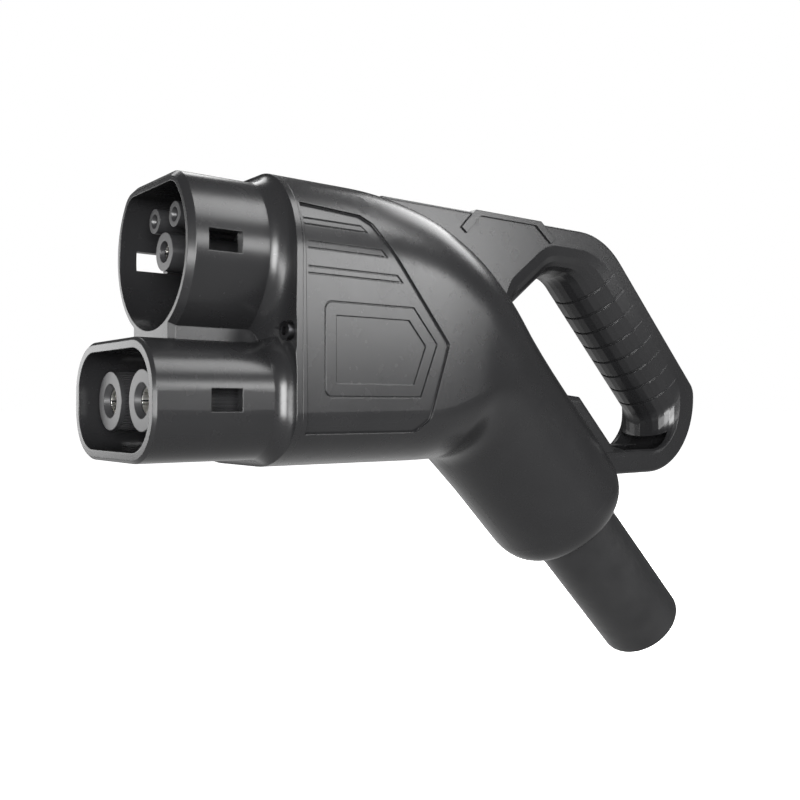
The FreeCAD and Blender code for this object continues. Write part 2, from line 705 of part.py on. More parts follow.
def nose_tubes():
    """The two shrouds as solids, with their chamfered rims."""
    ac = ac_prism(d.ac_wall, d.ac_rim_x, d.seam_x + d.spigot_length)
    ac = ac.makeChamfer(d.ac_rim_chamfer, rim_edges(ac, d.ac_rim_x))
    dc = dc_prism(d.dc_wall, d.dc_rim_x, d.seam_x + d.spigot_length)
    dc = dc.makeChamfer(d.dc_rim_chamfer, rim_edges(dc, d.dc_rim_x))
    web_low = -d.dc_drop
    web = Part.makeBox(d.seam_x - d.ac_rim_x, 2 * d.web_half, -web_low,
                       Vector(d.ac_rim_x, -d.web_half, web_low))
    upright = [edge for edge in rim_edges(web, d.ac_rim_x) if edge.BoundBox.YLength < 0.01]
    web = web.makeChamfer(d.ac_rim_chamfer, upright)
    return ac.fuse(dc).fuse(web)


def cavity(make, rim_x, back_x):
    """Space inside one shroud, with the wider seat of its insert."""
    seat = make(d.insert_step + d.fit_gap, d.insert_step_x, back_x + 1)
    return make(0.0, rim_x - 1, back_x + 1).fuse(seat)


RETAINER_SCREWS = [(29.4, 12.0), (-29.4, 12.0), (25.5, -27.3), (-25.5, -27.3)]


def x_cylinder(radius, length, x, y, z):
    return Part.makeCylinder(radius, length, Vector(x, y, z), Vector(1, 0, 0))


def front_shroud_shape():
    """Both shrouds, their flares, the flange, and behind the seam what fits into the shells."""
    back_x = d.seam_x + d.spigot_length
    flange_x = d.seam_x - d.flange_thick
    slack = d.housing_wall + d.fit_gap
    travel = Vector(d.spigot_length, 0, 0)
    room = prism(front_outline(d.seam_x, slack), travel)
    around = Part.makeBox(d.spigot_length, 4 * d.housing_half, 6 * d.housing_half,
                          Vector(d.seam_x, -2 * d.housing_half, -3 * d.housing_half)).cut(room)
    flange = prism(front_outline(flange_x), Vector(d.flange_thick, 0, 0))
    envelope = prism(front_outline(d.dc_rim_x), Vector(back_x - d.dc_rim_x, 0, 0))
    flares = ac_flare().fuse(dc_flare()).common(envelope)
    spigot = room.cut(prism(front_outline(d.seam_x, slack + d.spigot_wall), travel))
    bosses = [x_cylinder(d.retainer_boss / 2, back_x - flange_x, flange_x, y, z)
              for y, z in RETAINER_SCREWS]
    shape = nose_tubes().fuse([flares, flange] + bosses).cut(around).fuse(spigot)
    gasket_travel = Vector(d.gasket_width, 0, 0)
    groove = prism(front_outline(d.gasket_x, d.housing_wall - 1), gasket_travel)
    groove = groove.cut(prism(front_outline(d.gasket_x, slack + d.gasket_depth), gasket_travel))
    shape = shape.cut(groove)
    shape = shape.cut(cavity(ac_prism, d.ac_rim_x, back_x))
    shape = shape.cut(cavity(dc_prism, d.dc_rim_x, back_x))
    hole = d.screw_d / 2 + d.screw_gap
    for y, z in RETAINER_SCREWS:
        shape = shape.cut(x_cylinder(hole, d.retainer_screw, back_x - d.retainer_screw + 1, y, z))
    seat_x = flange_x + d.nose_head_proud
    for side in (-1, 1):
        y = side * d.nose_screw_y
        shape = shape.cut(nose_boss(side, d.boss_gap))
        shape = shape.cut(x_cylinder(d.screw_d / 2 + d.pass_gap, 30, d.seam_x - 15, y, d.nose_screw_z))
        shape = shape.cut(x_cylinder(d.screw_head / 2 + d.head_gap, 20, seat_x - 20, y, d.nose_screw_z))
    for x, length, rise, z in (
            (d.ac_window_x, d.ac_window_length, d.ac_window_rise, d.ac_window_lift),
            (d.dc_window_x, d.dc_window_length, d.dc_window_rise, d.dc_window_lift - d.dc_drop)):
        corner = Vector(x, -2 * d.housing_half, z - rise / 2)
        shape = shape.cut(Part.makeBox(length, 4 * d.housing_half, rise, corner))
    return biggest(shape)


# Inserts, contacts and what holds them

SOCKETS = [
    # name, kind, mouth plane x, y, z
    ("pe", "pe", "0", "0", "0"),
    ("cp", "pilot", "0", "Sizes.pilot_spacing / 2", "Sizes.pilot_rise"),
    ("pp", "pilot", "0", "-Sizes.pilot_spacing / 2", "Sizes.pilot_rise"),
    ("dc_plus", "dc", "Sizes.dc_tip_x", "Sizes.dc_spacing / 2", "-Sizes.dc_drop"),
    ("dc_minus", "dc", "Sizes.dc_tip_x", "-Sizes.dc_spacing / 2", "-Sizes.dc_drop"),
]


def sleeve_ribs(socket):
    """Grooves that leave fine ribs along the outside of one power sleeve."""
    radius = d.dc_sleeve / 2
    tip = d.dc_tip_x + d.rib_setback
    spot = contact_spots()[socket]
    grooves = []
    for index in range(int(d.rib_count)):
        groove = Part.makeBox(d.floor_x - tip, d.rib_gap, d.rib_depth + 1,
                              Vector(0, -d.rib_gap / 2, radius - d.rib_depth))
        groove.rotate(Vector(), Vector(1, 0, 0), 360 * index / d.rib_count)
        groove.translate(Vector(tip, spot.y, spot.z))
        grooves.append(groove)
    return solid_feature(socket + "_ribs", Part.makeCompound(grooves))


def insert(name, cavity_prism, sockets):
    """Moulded insert: a floor plate that plugs the shroud from behind, and its sleeves."""
    back_x = d.seam_x + d.spigot_length
    plate = cavity_prism(-d.fit_gap, d.floor_x, back_x)
    rim = cavity_prism(d.insert_step, d.insert_step_x, back_x)
    base = [solid_feature(name + "_plate", plate.fuse(rim).removeSplitter())]
    tools = []
    for socket, kind, tip, y, z in sockets:
        sleeve = "Sizes.%s_sleeve" % kind
        mouth = "Sizes.%s_mouth" % kind
        barrel = "Sizes.%s_barrel" % kind
        base.append(cylinder(socket + "_sleeve", sleeve, "Sizes.floor_x + 1 - (%s)" % tip, tip, y, z))
        tools.append(cylinder(socket + "_lumen", barrel + " + 2 * Sizes.contact_wall_gap",
                              "Sizes.seam_x + Sizes.spigot_length + 1 - (%s) - Sizes.contact_setback" % tip,
                              "(%s) + Sizes.contact_setback" % tip, y, z))
        entry = "Sizes.%s_bore + Sizes.bore_lead" % kind
        tools.append(cone(socket + "_funnel", mouth, entry, "Sizes.mouth_depth", tip, y, z))
        tools.append(cylinder(socket + "_entry", entry, "Sizes.contact_setback + 1", tip, y, z))
        tools.append(cylinder(socket + "_collar_seat",
                              barrel + " + 2 * Sizes.collar_step + 2 * Sizes.contact_wall_gap",
                              "Sizes.collar_length + 2 * Sizes.end_gap",
                              "Sizes.seam_x + Sizes.spigot_length - Sizes.collar_length - Sizes.end_gap",
                              y, z))
        if kind == "dc":
            tools.append(sleeve_ribs(socket))
    keep(cut(name, fuse(name + "_form", base), tools), name)


def contact(name, kind, tip, y, z):
    """Turned socket contact: slit barrel, collar held by the retainer, crimp sleeve."""
    barrel = "Sizes.%s_barrel" % kind
    bore = "Sizes.%s_bore" % kind
    front = "(%s) + Sizes.contact_setback + Sizes.end_gap" % tip
    back = "(Sizes.seam_x + Sizes.spigot_length)"
    stem = cylinder(name + "_stem", barrel, "%s - Sizes.collar_length / 2 - (%s)" % (back, front), front,
                    y, z)
    collar = cylinder(name + "_collar", barrel + " + 2 * Sizes.collar_step", "Sizes.collar_length",
                      back + " - Sizes.collar_length", y, z)
    crimp = cylinder(name + "_crimp", barrel, "Sizes.crimp_length + Sizes.collar_length / 2",
                     back + " - Sizes.collar_length / 2", y, z)
    socket = cylinder(name + "_socket", bore, "Sizes.bore_depth + 1", front + " - 1", y, z)
    wire = "Sizes.%s_wire" % ("signal" if kind == "pilot" else kind)
    well = cylinder(name + "_well", wire + " + 2 * Sizes.core_gap", "Sizes.crimp_depth + 1",
                    back + " + Sizes.crimp_length - Sizes.crimp_depth", y, z)
    tools = [socket, well]
    for turn, (wide, high) in enumerate((("Sizes.slit_width", barrel + " + 2"),
                                         (barrel + " + 2", "Sizes.slit_width"))):
        tools.append(box("%s_slit_%d" % (name, turn), "Sizes.slit_length + 1", wide, high, front + " - 1",
                         "(%s) - (%s) / 2" % (y, wide), "(%s) - (%s) / 2" % (z, high)))
    keep(cut(name + "_contact", fuse(name + "_blank", [stem, collar, crimp]), tools), name + "_contact")


def retainer():
    """Flat plate behind the inserts that traps the contacts' collars."""
    x = "Sizes.seam_x + Sizes.spigot_length"
    inset = d.housing_wall + d.retainer_gap
    x0 = d.seam_x + d.spigot_length
    blank = prism(front_outline(x0, inset), Vector(d.retainer_thick, 0, 0))
    for side in (-1, 1):
        blank = blank.cut(nose_boss(side, d.boss_gap))
    base = solid_feature("retainer_blank", blank)
    tools = []
    for socket, kind, tip, y, z in SOCKETS:
        tools.append(cylinder(socket + "_pass", "Sizes.%s_barrel + 2 * Sizes.pass_gap" % kind,
                              "Sizes.retainer_thick + 2", x + " - 1", y, z))
    for index, (y, z) in enumerate(RETAINER_SCREWS):
        tools.append(cylinder("retainer_hole_%d" % index, "Sizes.screw_d + 2 * Sizes.pass_gap",
                              "Sizes.retainer_thick + 2", x + " - 1", str(y), str(z)))
    keep(cut("contact_retainer", base, tools), "contact_retainer")


def gasket():
    """Seal strips in the spigot's groove, above and below the two nose screws."""
    x = d.gasket_x + d.gasket_gap
    outer = front_outline(x, d.housing_wall + d.gasket_squeeze)
    inner = front_outline(x, d.housing_wall + d.fit_gap + d.gasket_depth - d.gasket_gap)
    travel = Vector(d.gasket_width - 2 * d.gasket_gap, 0, 0)
    ring = prism(outer, travel).cut(prism(inner, travel))
    for side in (-1, 1):
        ring = ring.cut(nose_boss(side, d.boss_gap))
    upper, lower = sorted(ring.Solids, key=lambda solid: -solid.CenterOfMass.z)
    keep(solid_feature("nose_gasket_upper", upper), "nose_gasket_upper")
    keep(solid_feature("nose_gasket_lower", lower), "nose_gasket_lower")


# Screws

def screw_body(name, shank):
    """Pan head screw along X: revolved profile with a hexagon socket."""
    body = doc.addObject("PartDesign::Body", name)
    planes = {plane.Role: plane for plane in body.Origin.OriginFeatures}
    sketch = body.newObject("Sketcher::SketchObject", name + "_profile")
    sketch.AttachmentSupport = [(planes["XY_Plane"], "")]
    sketch.MapMode = "FlatFace"
    corners = [("0", "0"), ("-Sizes.screw_head_rise", "0"),
               ("-Sizes.screw_head_rise", "Sizes.screw_head / 2"),
               ("0", "Sizes.screw_head / 2"), ("0", "Sizes.screw_d / 2"),
               (shank, "Sizes.screw_d / 2"), (shank, "0")]
    add_outline(sketch, corners)
    turned = body.newObject("PartDesign::Revolution", name + "_turned")
    turned.Profile = sketch
    turned.ReferenceAxis = (sketch, ["H_Axis"])
    turned.Angle = 360
    drive = body.newObject("Sketcher::SketchObject", name + "_drive")
    drive.AttachmentSupport = [(planes["YZ_Plane"], "")]
    drive.MapMode = "FlatFace"
    drive.AttachmentOffset = Placement(Vector(0, 0, -d.screw_head_rise), Rotation())
    drive.setExpression("AttachmentOffset.Base.z", "-Sizes.screw_head_rise")
    reach = "Sizes.screw_head * Sizes.drive_share"
    add_outline(drive, [("%s * cos(%d deg)" % (reach, 60 * k), "%s * sin(%d deg)" % (reach, 60 * k))
                        for k in range(6)])
    pocket = body.newObject("PartDesign::Pocket", name + "_socket")
    pocket.Profile = drive
    pocket.Reversed = True
    pocket.setExpression("Length", "Sizes.screw_head_rise * Sizes.drive_depth_share")
    doc.recompute()
    return body


def add_outline(sketch, corners):
    """Closed polygon whose corners are bound to expressions."""
    spots = [Vector(size(a), size(b), 0) for a, b in corners]
    count = len(spots)
    for index in range(count):
        sketch.addGeometry(Part.LineSegment(spots[index], spots[(index + 1) % count]), False)
    for index in range(count):
        sketch.addConstraint(Sketcher.Constraint("Coincident", index, 2, (index + 1) % count, 1))
    for index, (a, b) in enumerate(corners):
        for kind, expression in (("DistanceX", a), ("DistanceY", b)):
            number = sketch.addConstraint(
                Sketcher.Constraint(kind, -1, 1, index, 1, size(expression)))
            sketch.setExpression("Constraints[%d]" % number, expression)


def screw_group(label, form, placements):
    """Identical screws as one group of separate solids."""
    copies = []
    for placement in placements:
        copy = form.Shape.copy()
        copy.Placement = placement.multiply(form.Shape.Placement)
        copies.append(copy)
    keep(solid_feature(label, Part.makeCompound(copies)), label)


def make_screws():
    long_screw = screw_body("housing_screw_form", "Sizes.housing_screw - Sizes.screw_head_rise")
    to_left = Rotation(Vector(1, 0, 0), Vector(0, -1, 0))
    screw_group("housing_screws", long_screw,
                [Placement(place + Vector(0, d.screw_seat, 0), to_left) for place in screw_places()])
    nose = screw_body("nose_screw_form", "Sizes.nose_screw - 1")
    seat_x = d.seam_x - d.flange_thick + d.nose_head_proud
    screw_group("nose_screws", nose,
                [Placement(Vector(seat_x, side * d.nose_screw_y, d.nose_screw_z), Rotation())
                 for side in (-1, 1)])
    short = screw_body("retainer_screw_form", "Sizes.retainer_screw - 0.5")
    to_front = Rotation(Vector(0, 0, 1), 180)
    seat_x = d.seam_x + d.spigot_length + d.retainer_thick
    screw_group("retainer_screws", short,
                [Placement(Vector(seat_x, y, z), to_front) for y, z in RETAINER_SCREWS])
    clamp = screw_body("clamp_screw_form", "Sizes.clamp_screw - 2")
    middle = d.clamp_start + d.clamp_length / 2
    down = Rotation(Vector(0, 1, 0), d.neck_tilt + 90)
    screw_group("clamp_screws", clamp,
                [Placement(neck_point(middle, side * d.clamp_screw_y, d.clamp_seat), down)
                 for side in (-1, 1)])


# Cable and its hold in the neck

def ring_x(outer, inner, x0, x1):
    tube = Part.makeCylinder(outer, x1 - x0, Vector(x0, 0, 0), Vector(1, 0, 0))
    return tube.cut(Part.makeCylinder(inner, x1 - x0 + 2, Vector(x0 - 1, 0, 0), Vector(1, 0, 0)))


def core_places():
    return [
        ("dc_plus", d.dc_core, d.dc_wire, d.dc_core_y, d.dc_core_lift),
        ("dc_minus", d.dc_core, d.dc_wire, -d.dc_core_y, d.dc_core_lift),
        ("pe", d.pe_core, d.pe_wire, 0.0, d.pe_core_lift),
        ("cp", d.signal_core, d.signal_wire, d.signal_core_y, d.signal_core_lift),
        ("pp", d.signal_core, d.signal_wire, -d.signal_core_y, d.signal_core_lift),
        ("sensor_plus", d.signal_core, d.signal_wire, d.sensor_core_y, d.sensor_core_lift),
        ("sensor_minus", d.signal_core, d.signal_wire, -d.sensor_core_y, d.sensor_core_lift),
    ]


def make_cable():
    radius = d.cable_d / 2
    sheath = ring_x(radius, radius - d.sheath_wall, d.sheath_start, d.cable_tail)
    keep(solid_feature("cable_sheath", in_neck(sheath)), "cable_sheath")
    start = d.sheath_start + d.filler_setback
    filler = x_cylinder(radius - d.sheath_wall - d.filler_gap, d.cable_tail - start, start, 0, 0)
    for name, core, wire, y, lift in core_places():
        filler = filler.cut(x_cylinder(core / 2 + d.core_gap, 400, -200, y, lift))
    keep(solid_feature("cable_filler", in_neck(filler)), "cable_filler")


def rounded_path(points, share=0.45):
    """Straight runs joined by tangent arcs as large as the runs allow."""
    edges = []
    last = points[0]
    for before, corner, after in zip(points, points[1:], points[2:]):
        back = before - corner
        ahead = after - corner
        reach = share * min(back.Length, ahead.Length)
        back.normalize()
        ahead.normalize()
        opening = back.getAngle(ahead)
        if opening > math.pi - 0.01:
            continue
        radius = reach * math.tan(opening / 2)
        start = corner + back * reach
        end = corner + ahead * reach
        centre = corner + (back + ahead).normalize() * (radius / math.sin(opening / 2))
        middle = centre + (corner - centre).normalize() * radius
        edges.append(line(last, start))
        edges.append(arc(start, middle, end))
        last = end
    edges.append(line(last, points[-1]))
    return Part.Wire(edges)


def sweep(name, points, outer, inner=0.0):
    """Tube along the rounded path; prints its arcs' radii and its volume over section times length."""
    path = rounded_path(points)
    heading = points[1] - points[0]
    disc = Part.Face(Part.Wire(Part.makeCircle(outer / 2, points[0], heading)))
    if inner:
        disc = disc.cut(Part.Face(Part.Wire(Part.makeCircle(inner / 2, points[0], heading))))
    tube = biggest(path.makePipe(disc))
    radii = ["%.1f" % edge.Curve.Radius for edge in path.Edges if hasattr(edge.Curve, "Radius")]
    share = tube.Volume / (disc.Area * path.Length)
    print("%-28s arcs %s mm, volume %.4f of section times length" % (name, " ".join(radii), share))
    return tube


def contact_spots():
    spots = {}
    for name, kind, tip, y, z in SOCKETS:
        spots[name] = Vector(0, size(y), size(z))
    return spots


def neck_entry(z, y, lift):
    """Point where a level run at height z meets a core's line in the neck."""
    along = (NECK_END.z - z) / math.sin(TILT) + lift / math.tan(TILT)
    return neck_point(along, y, lift)


def core_route(y, lift, start):
    """From behind the contact, through the body and down the neck to the cable's cut end."""
    level = start + Vector(d.core_run, 0, 0)
    return [start, level, neck_entry(start.z, y, lift), neck_point(d.cable_tail, y, lift)]


def make_cores():
    back_x = d.seam_x + d.spigot_length
    spots = contact_spots()
    for name, core, wire, y, lift in core_places():
        if name.startswith("sensor"):
            side = math.copysign(1, y)
            level = -d.dc_drop - d.dc_core / 2 - d.signal_core / 2 - d.sensor_lead_gap
            start = Vector(back_x + d.retainer_thick + d.sensor_setback + d.sensor_length,
                           side * d.sensor_lead_y, level)
            strip = 0.0
        else:
            start = spots[name] + Vector(back_x + d.crimp_length + d.strip_gap, 0, 0)
            strip = d.crimp_depth + d.strip_gap
        route = core_route(y, lift, start)
        label = name + "_insulation"
        keep(solid_feature(label, sweep(label, route, core, wire + 2 * d.strand_gap)), label)
        if strip:
            route.insert(0, start - Vector(strip, 0, 0))
        label = name + "_conductor"
        keep(solid_feature(label, sweep(label, route, wire)), label)


def make_clamp():
    """Two-part strain relief that grips the sheath inside the neck."""
    outer = d.neck_radius - d.housing_wall - d.clamp_gap
    blank = ring_x(outer, d.cable_d / 2, d.clamp_start, d.clamp_start + d.clamp_length)
    middle = d.clamp_start + d.clamp_length / 2
    up = Vector(0, 0, 1)
    for side in (-1, 1):
        y = side * d.clamp_screw_y
        hole = Part.makeCylinder(d.screw_d / 2 + d.screw_gap, 2 * outer, Vector(middle, y, -outer), up)
        seat = Part.makeCylinder(d.screw_head / 2 + d.head_gap, outer, Vector(middle, y, d.clamp_seat), up)
        blank = blank.cut([hole, seat])
    depth = 2 * outer
    for name, low in (("clamp_upper", d.clamp_split / 2), ("clamp_lower", -depth - d.clamp_split / 2)):
        block = Part.makeBox(2 * d.clamp_length, 2 * depth, depth,
                             Vector(d.clamp_start - d.clamp_length / 2, -depth, low))
        keep(solid_feature(name, in_neck(biggest(blank.common(block)))), name)


def make_seal():
    """Rubber seal round the cable in the neck's mouth."""
    inner = d.cable_d / 2
    bore = d.neck_radius - d.housing_wall
    shoulder = -d.neck_round_length
    lip = ring_x(d.seal_mouth - d.seal_gap, inner, -d.seal_lip, -d.seal_setback)
    collar = ring_x(bore - d.seal_gap, inner, shoulder - d.seal_collar, shoulder - d.gasket_gap)
    keep(solid_feature("cable_seal", in_neck(lip.fuse(collar))), "cable_seal")


# Sensors and coding board

def make_sensors():
    """Temperature sensors clipped under the power contacts' crimp sleeves."""
    for name, y in (("plus", "Sizes.dc_spacing / 2"), ("minus", "-Sizes.dc_spacing / 2")):
        block = box("sensor_block_" + name, "Sizes.sensor_length", "Sizes.sensor_width",
                    "Sizes.sensor_thick + Sizes.dc_barrel / 2",
                    "Sizes.seam_x + Sizes.spigot_length + Sizes.retainer_thick + Sizes.sensor_setback",
                    "(%s) - Sizes.sensor_width / 2" % y,
                    "-Sizes.dc_drop - Sizes.dc_barrel / 2 - Sizes.sensor_thick")
        saddle = cylinder("sensor_saddle_" + name, "Sizes.dc_barrel + 0.1", "Sizes.sensor_length + 2",
                          "Sizes.seam_x + Sizes.spigot_length + Sizes.retainer_thick - 0.5", y,
                          "-Sizes.dc_drop")
        clip = box("sensor_clip_" + name, "Sizes.sensor_length + 2", "Sizes.sensor_width + 2",
                   "Sizes.dc_barrel", "Sizes.seam_x + Sizes.spigot_length + Sizes.retainer_thick - 0.5",
                   "(%s) - Sizes.sensor_width / 2 - 1" % y,
                   "-Sizes.dc_drop - Sizes.dc_barrel / 2 + Sizes.sensor_thick / 2")
        keep(cut("temperature_sensor_" + name, block, [saddle, clip]), "temperature_sensor_" + name)


def make_board():
    """Small coding resistor board that stands on the retainer plate."""
    body = doc.addObject("PartDesign::Body", "coding_board_body")
    planes = {plane.Role: plane for plane in body.Origin.OriginFeatures}
    sketch = body.newObject("Sketcher::SketchObject", "coding_board_outline")
    sketch.AttachmentSupport = [(planes["XY_Plane"], "")]
    sketch.MapMode = "FlatFace"
    add_outline(sketch, [("0", "-Sizes.board_width / 2"), ("Sizes.board_length", "-Sizes.board_width / 2"),
                         ("Sizes.board_length", "Sizes.board_width / 2"), ("0", "Sizes.board_width / 2")])
    pad = body.newObject("PartDesign::Pad", "coding_board_pad")
    pad.Profile = sketch
    pad.setExpression("Length", "Sizes.board_thick")
    body.setExpression("Placement.Base.x", "Sizes.seam_x + Sizes.spigot_length + Sizes.retainer_thick")
    body.setExpression("Placement.Base.z", "-Sizes.dc_drop / 2")
    keep(body, "coding_board")
    resistor = box("resistor_box", "Sizes.resistor_length", "Sizes.resistor_width", "Sizes.resistor_rise",
                   "Sizes.seam_x + Sizes.spigot_length + Sizes.retainer_thick + Sizes.resistor_place",
                   "-Sizes.resistor_width / 2", "-Sizes.dc_drop / 2 + Sizes.board_thick")
    keep(resistor, "coding_resistor")


def check():
    bad = [obj.Label for obj in doc.Objects
           if any(word in ("Invalid", "Error") for word in obj.State)]
    if bad:
        raise RuntimeError("failed objects: " + ", ".join(bad))
    for part in parts:
        shape = part.Shape
        if shape.isNull() or not shape.isValid() or not shape.Solids:
            raise RuntimeError("bad shape: " + part.Label)


def main():
    keep(solid_feature("front_shroud", front_shroud_shape()), "front_shroud")
    insert("ac_insert", ac_prism, SOCKETS[:3])
    insert("dc_insert", dc_prism, SOCKETS[3:])
    for socket in SOCKETS:
        contact(*socket)
    retainer()
    gasket()
    make_housings()
    make_cable()
    make_cores()
    make_clamp()
    make_seal()
    make_sensors()
    make_board()
    make_screws()
    doc.recompute()
    check()
    os.makedirs("parts", exist_ok=True)
    for part in parts:
        part.Shape.exportStep("parts/%s.step" % part.Label)
        print("%-28s %2d solids %10.0f mm3" % (part.Label, len(part.Shape.Solids), part.Shape.Volume))


main()
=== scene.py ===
import json
import math

import bpy
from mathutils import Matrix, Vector


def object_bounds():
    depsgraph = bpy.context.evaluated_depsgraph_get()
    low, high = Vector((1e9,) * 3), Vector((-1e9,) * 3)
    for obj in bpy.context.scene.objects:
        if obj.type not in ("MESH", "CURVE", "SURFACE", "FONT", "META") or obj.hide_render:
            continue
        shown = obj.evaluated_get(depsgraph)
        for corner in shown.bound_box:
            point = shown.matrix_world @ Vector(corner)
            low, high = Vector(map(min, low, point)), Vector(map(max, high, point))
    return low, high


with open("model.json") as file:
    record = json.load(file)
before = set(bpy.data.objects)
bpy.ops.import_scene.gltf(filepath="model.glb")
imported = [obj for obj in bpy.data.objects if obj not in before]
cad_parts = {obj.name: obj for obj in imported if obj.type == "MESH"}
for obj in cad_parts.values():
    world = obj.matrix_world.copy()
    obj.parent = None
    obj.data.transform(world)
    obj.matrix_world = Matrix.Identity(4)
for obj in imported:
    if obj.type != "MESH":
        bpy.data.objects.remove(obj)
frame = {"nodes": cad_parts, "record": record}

cad_box = [list(corner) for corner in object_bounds()]

# Charging connector in its studio. Metres, in the part's own frame:
# X along the plugging direction towards the cable, Z up.


# Materials

class Nodes:
    """Small helper that adds and links shader nodes of one material."""

    def __init__(self, name):
        self.material = bpy.data.materials.new(name)
        self.material.use_nodes = True
        self.tree = self.material.node_tree
        self.tree.nodes.clear()
        self.shader = self.tree.nodes.new("ShaderNodeBsdfPrincipled")
        output = self.tree.nodes.new("ShaderNodeOutputMaterial")
        self.tree.links.new(self.shader.outputs["BSDF"], output.inputs["Surface"])
        self.place = self.tree.nodes.new("ShaderNodeTexCoord").outputs["Object"]

    def add(self, kind, **settings):
        node = self.tree.nodes.new(kind)
        for key, value in settings.items():
            setattr(node, key, value)
        return node

    def link(self, source, target):
        self.tree.links.new(source, target)

    def noise(self, scale, detail=3.0, rough=0.5, place=None):
        node = self.add("ShaderNodeTexNoise")
        node.inputs["Scale"].default_value = scale
        node.inputs["Detail"].default_value = detail
        node.inputs["Roughness"].default_value = rough
        self.link(place or self.place, node.inputs["Vector"])
        return node.outputs["Fac"]

    def cells(self, scale):
        node = self.add("ShaderNodeTexVoronoi")
        node.inputs["Scale"].default_value = scale
        self.link(self.place, node.inputs["Vector"])
        return node.outputs["Distance"]

    def spread(self, value, low, high):
        """Maps 0.3-0.7 of a noise to low-high."""
        node = self.add("ShaderNodeMapRange")
        node.inputs["From Min"].default_value = 0.3
        node.inputs["From Max"].default_value = 0.7
        node.inputs["To Min"].default_value = low
        node.inputs["To Max"].default_value = high
        self.link(value, node.inputs["Value"])
        return node.outputs["Result"]

    def blend(self, factor, first, second):
        """Mixes two colours by a factor."""
        node = self.add("ShaderNodeMix", data_type="RGBA")
        self.link(factor, node.inputs["Factor"])
        for colour, socket in ((first, node.inputs[6]), (second, node.inputs[7])):
            socket.default_value = (*colour, 1.0)
        return node.outputs[2]

    def bump(self, height, strength, distance, normal=None):
        node = self.add("ShaderNodeBump")
        node.inputs["Strength"].default_value = strength
        node.inputs["Distance"].default_value = distance
        self.link(height, node.inputs["Height"])
        if normal is not None:
            self.link(normal, node.inputs["Normal"])
        return node.outputs["Normal"]

    def soft_edges(self, radius):
        """Normal that rounds sharp edges by a radius in metres."""
        node = self.add("ShaderNodeBevel", samples=6)
        node.inputs["Radius"].default_value = radius
        return node.outputs["Normal"]

    def soft_specular(self, level):
        """Lowers the shader's mirror share from its usual 0.5."""
        self.shader.inputs["Specular IOR Level"].default_value = level

    def finish(self, colour, rough, normal=None):
        """Links what is given to the shader and hands back the material."""
        for value, socket in ((colour, "Base Color"), (rough, "Roughness"), (normal, "Normal")):
            if value is not None:
                self.link(value, self.shader.inputs[socket])
        return self.material


# Heights of the relief and radii of the softened edges, in metres
GRAIN = 0.00003
RUBBER_RIPPLE = 0.00006
METAL_GROOVE = 0.00004
STRIPED_RIPPLE = 0.00005
MOULDED_EDGE = 0.0004
RUBBER_EDGE = 0.0003
METAL_EDGE = 0.00015

SOFT_SPECULAR = 0.18
PAPER_SPECULAR = 0.1


def moulded(name, dark, light, rough):
    """Moulded plastic: fine eroded grain, faint flow clouds, soft edges."""
    n = Nodes(name)
    n.soft_specular(SOFT_SPECULAR)
    clouds = n.noise(30.0, 3.0)
    fine = n.noise(2600.0, 2.0)
    speck = n.cells(3800.0)
    colour = n.blend(n.spread(clouds, 0.0, 1.0), dark, light)
    roughness = n.spread(n.noise(160.0, 5.0), rough - 0.008, rough + 0.008)
    normal = n.bump(fine, 0.12, GRAIN, n.soft_edges(MOULDED_EDGE))
    normal = n.bump(speck, 0.06, GRAIN, normal)
    return n.finish(colour, roughness, normal)


def rubbery(name, dark, light, rough):
    """Extruded or moulded rubber: dull, with a soft low swell and dust-fine grain."""
    n = Nodes(name)
    n.soft_specular(SOFT_SPECULAR)
    swell = n.noise(60.0, 2.0)
    fine = n.noise(3200.0, 3.0)
    colour = n.blend(n.spread(swell, 0.0, 1.0), dark, light)
    roughness = n.spread(n.noise(300.0, 4.0), rough - 0.05, rough + 0.05)
    normal = n.bump(swell, 0.25, 4 * RUBBER_RIPPLE, n.soft_edges(RUBBER_EDGE))
    normal = n.bump(fine, 0.4, RUBBER_RIPPLE, normal)
    return n.finish(colour, roughness, normal)


def metal(name, dark, light, rough, grain_scale=900.0):
    """Turned or drawn metal: fine grooves along X, faint stains."""
    n = Nodes(name)
    n.shader.inputs["Metallic"].default_value = 1.0
    mapping = n.add("ShaderNodeMapping")
    mapping.inputs["Scale"].default_value = (0.05, 1.0, 1.0)
    n.link(n.place, mapping.inputs["Vector"])
    lines = n.noise(grain_scale, 4.0, 0.6, mapping.outputs["Vector"])
    stain = n.noise(220.0, 5.0)
    colour = n.blend(n.spread(stain, 0.0, 1.0), dark, light)
    roughness = n.spread(lines, rough - 0.08, rough + 0.08)
    grooves = n.bump(lines, 0.15, METAL_GROOVE, n.soft_edges(METAL_EDGE))
    return n.finish(colour, roughness, grooves)


def striped(name, base, stripe):
    """Core insulation with a coloured stripe along it."""
    n = Nodes(name)
    wave = n.add("ShaderNodeTexWave", wave_type="BANDS", bands_direction="Y")
    wave.inputs["Scale"].default_value = 60.0
    n.link(n.place, wave.inputs["Vector"])
    ramp = n.add("ShaderNodeValToRGB")
    ramp.color_ramp.interpolation = "CONSTANT"
    ramp.color_ramp.elements[0].color = (*base, 1.0)
    ramp.color_ramp.elements[1].position = 0.6
    ramp.color_ramp.elements[1].color = (*stripe, 1.0)
    n.link(wave.outputs["Fac"], ramp.inputs["Fac"])
    swell = n.noise(400.0, 3.0)
    roughness = n.spread(swell, 0.4, 0.5)
    return n.finish(ramp.outputs["Color"], roughness, n.bump(swell, 0.2, STRIPED_RIPPLE))


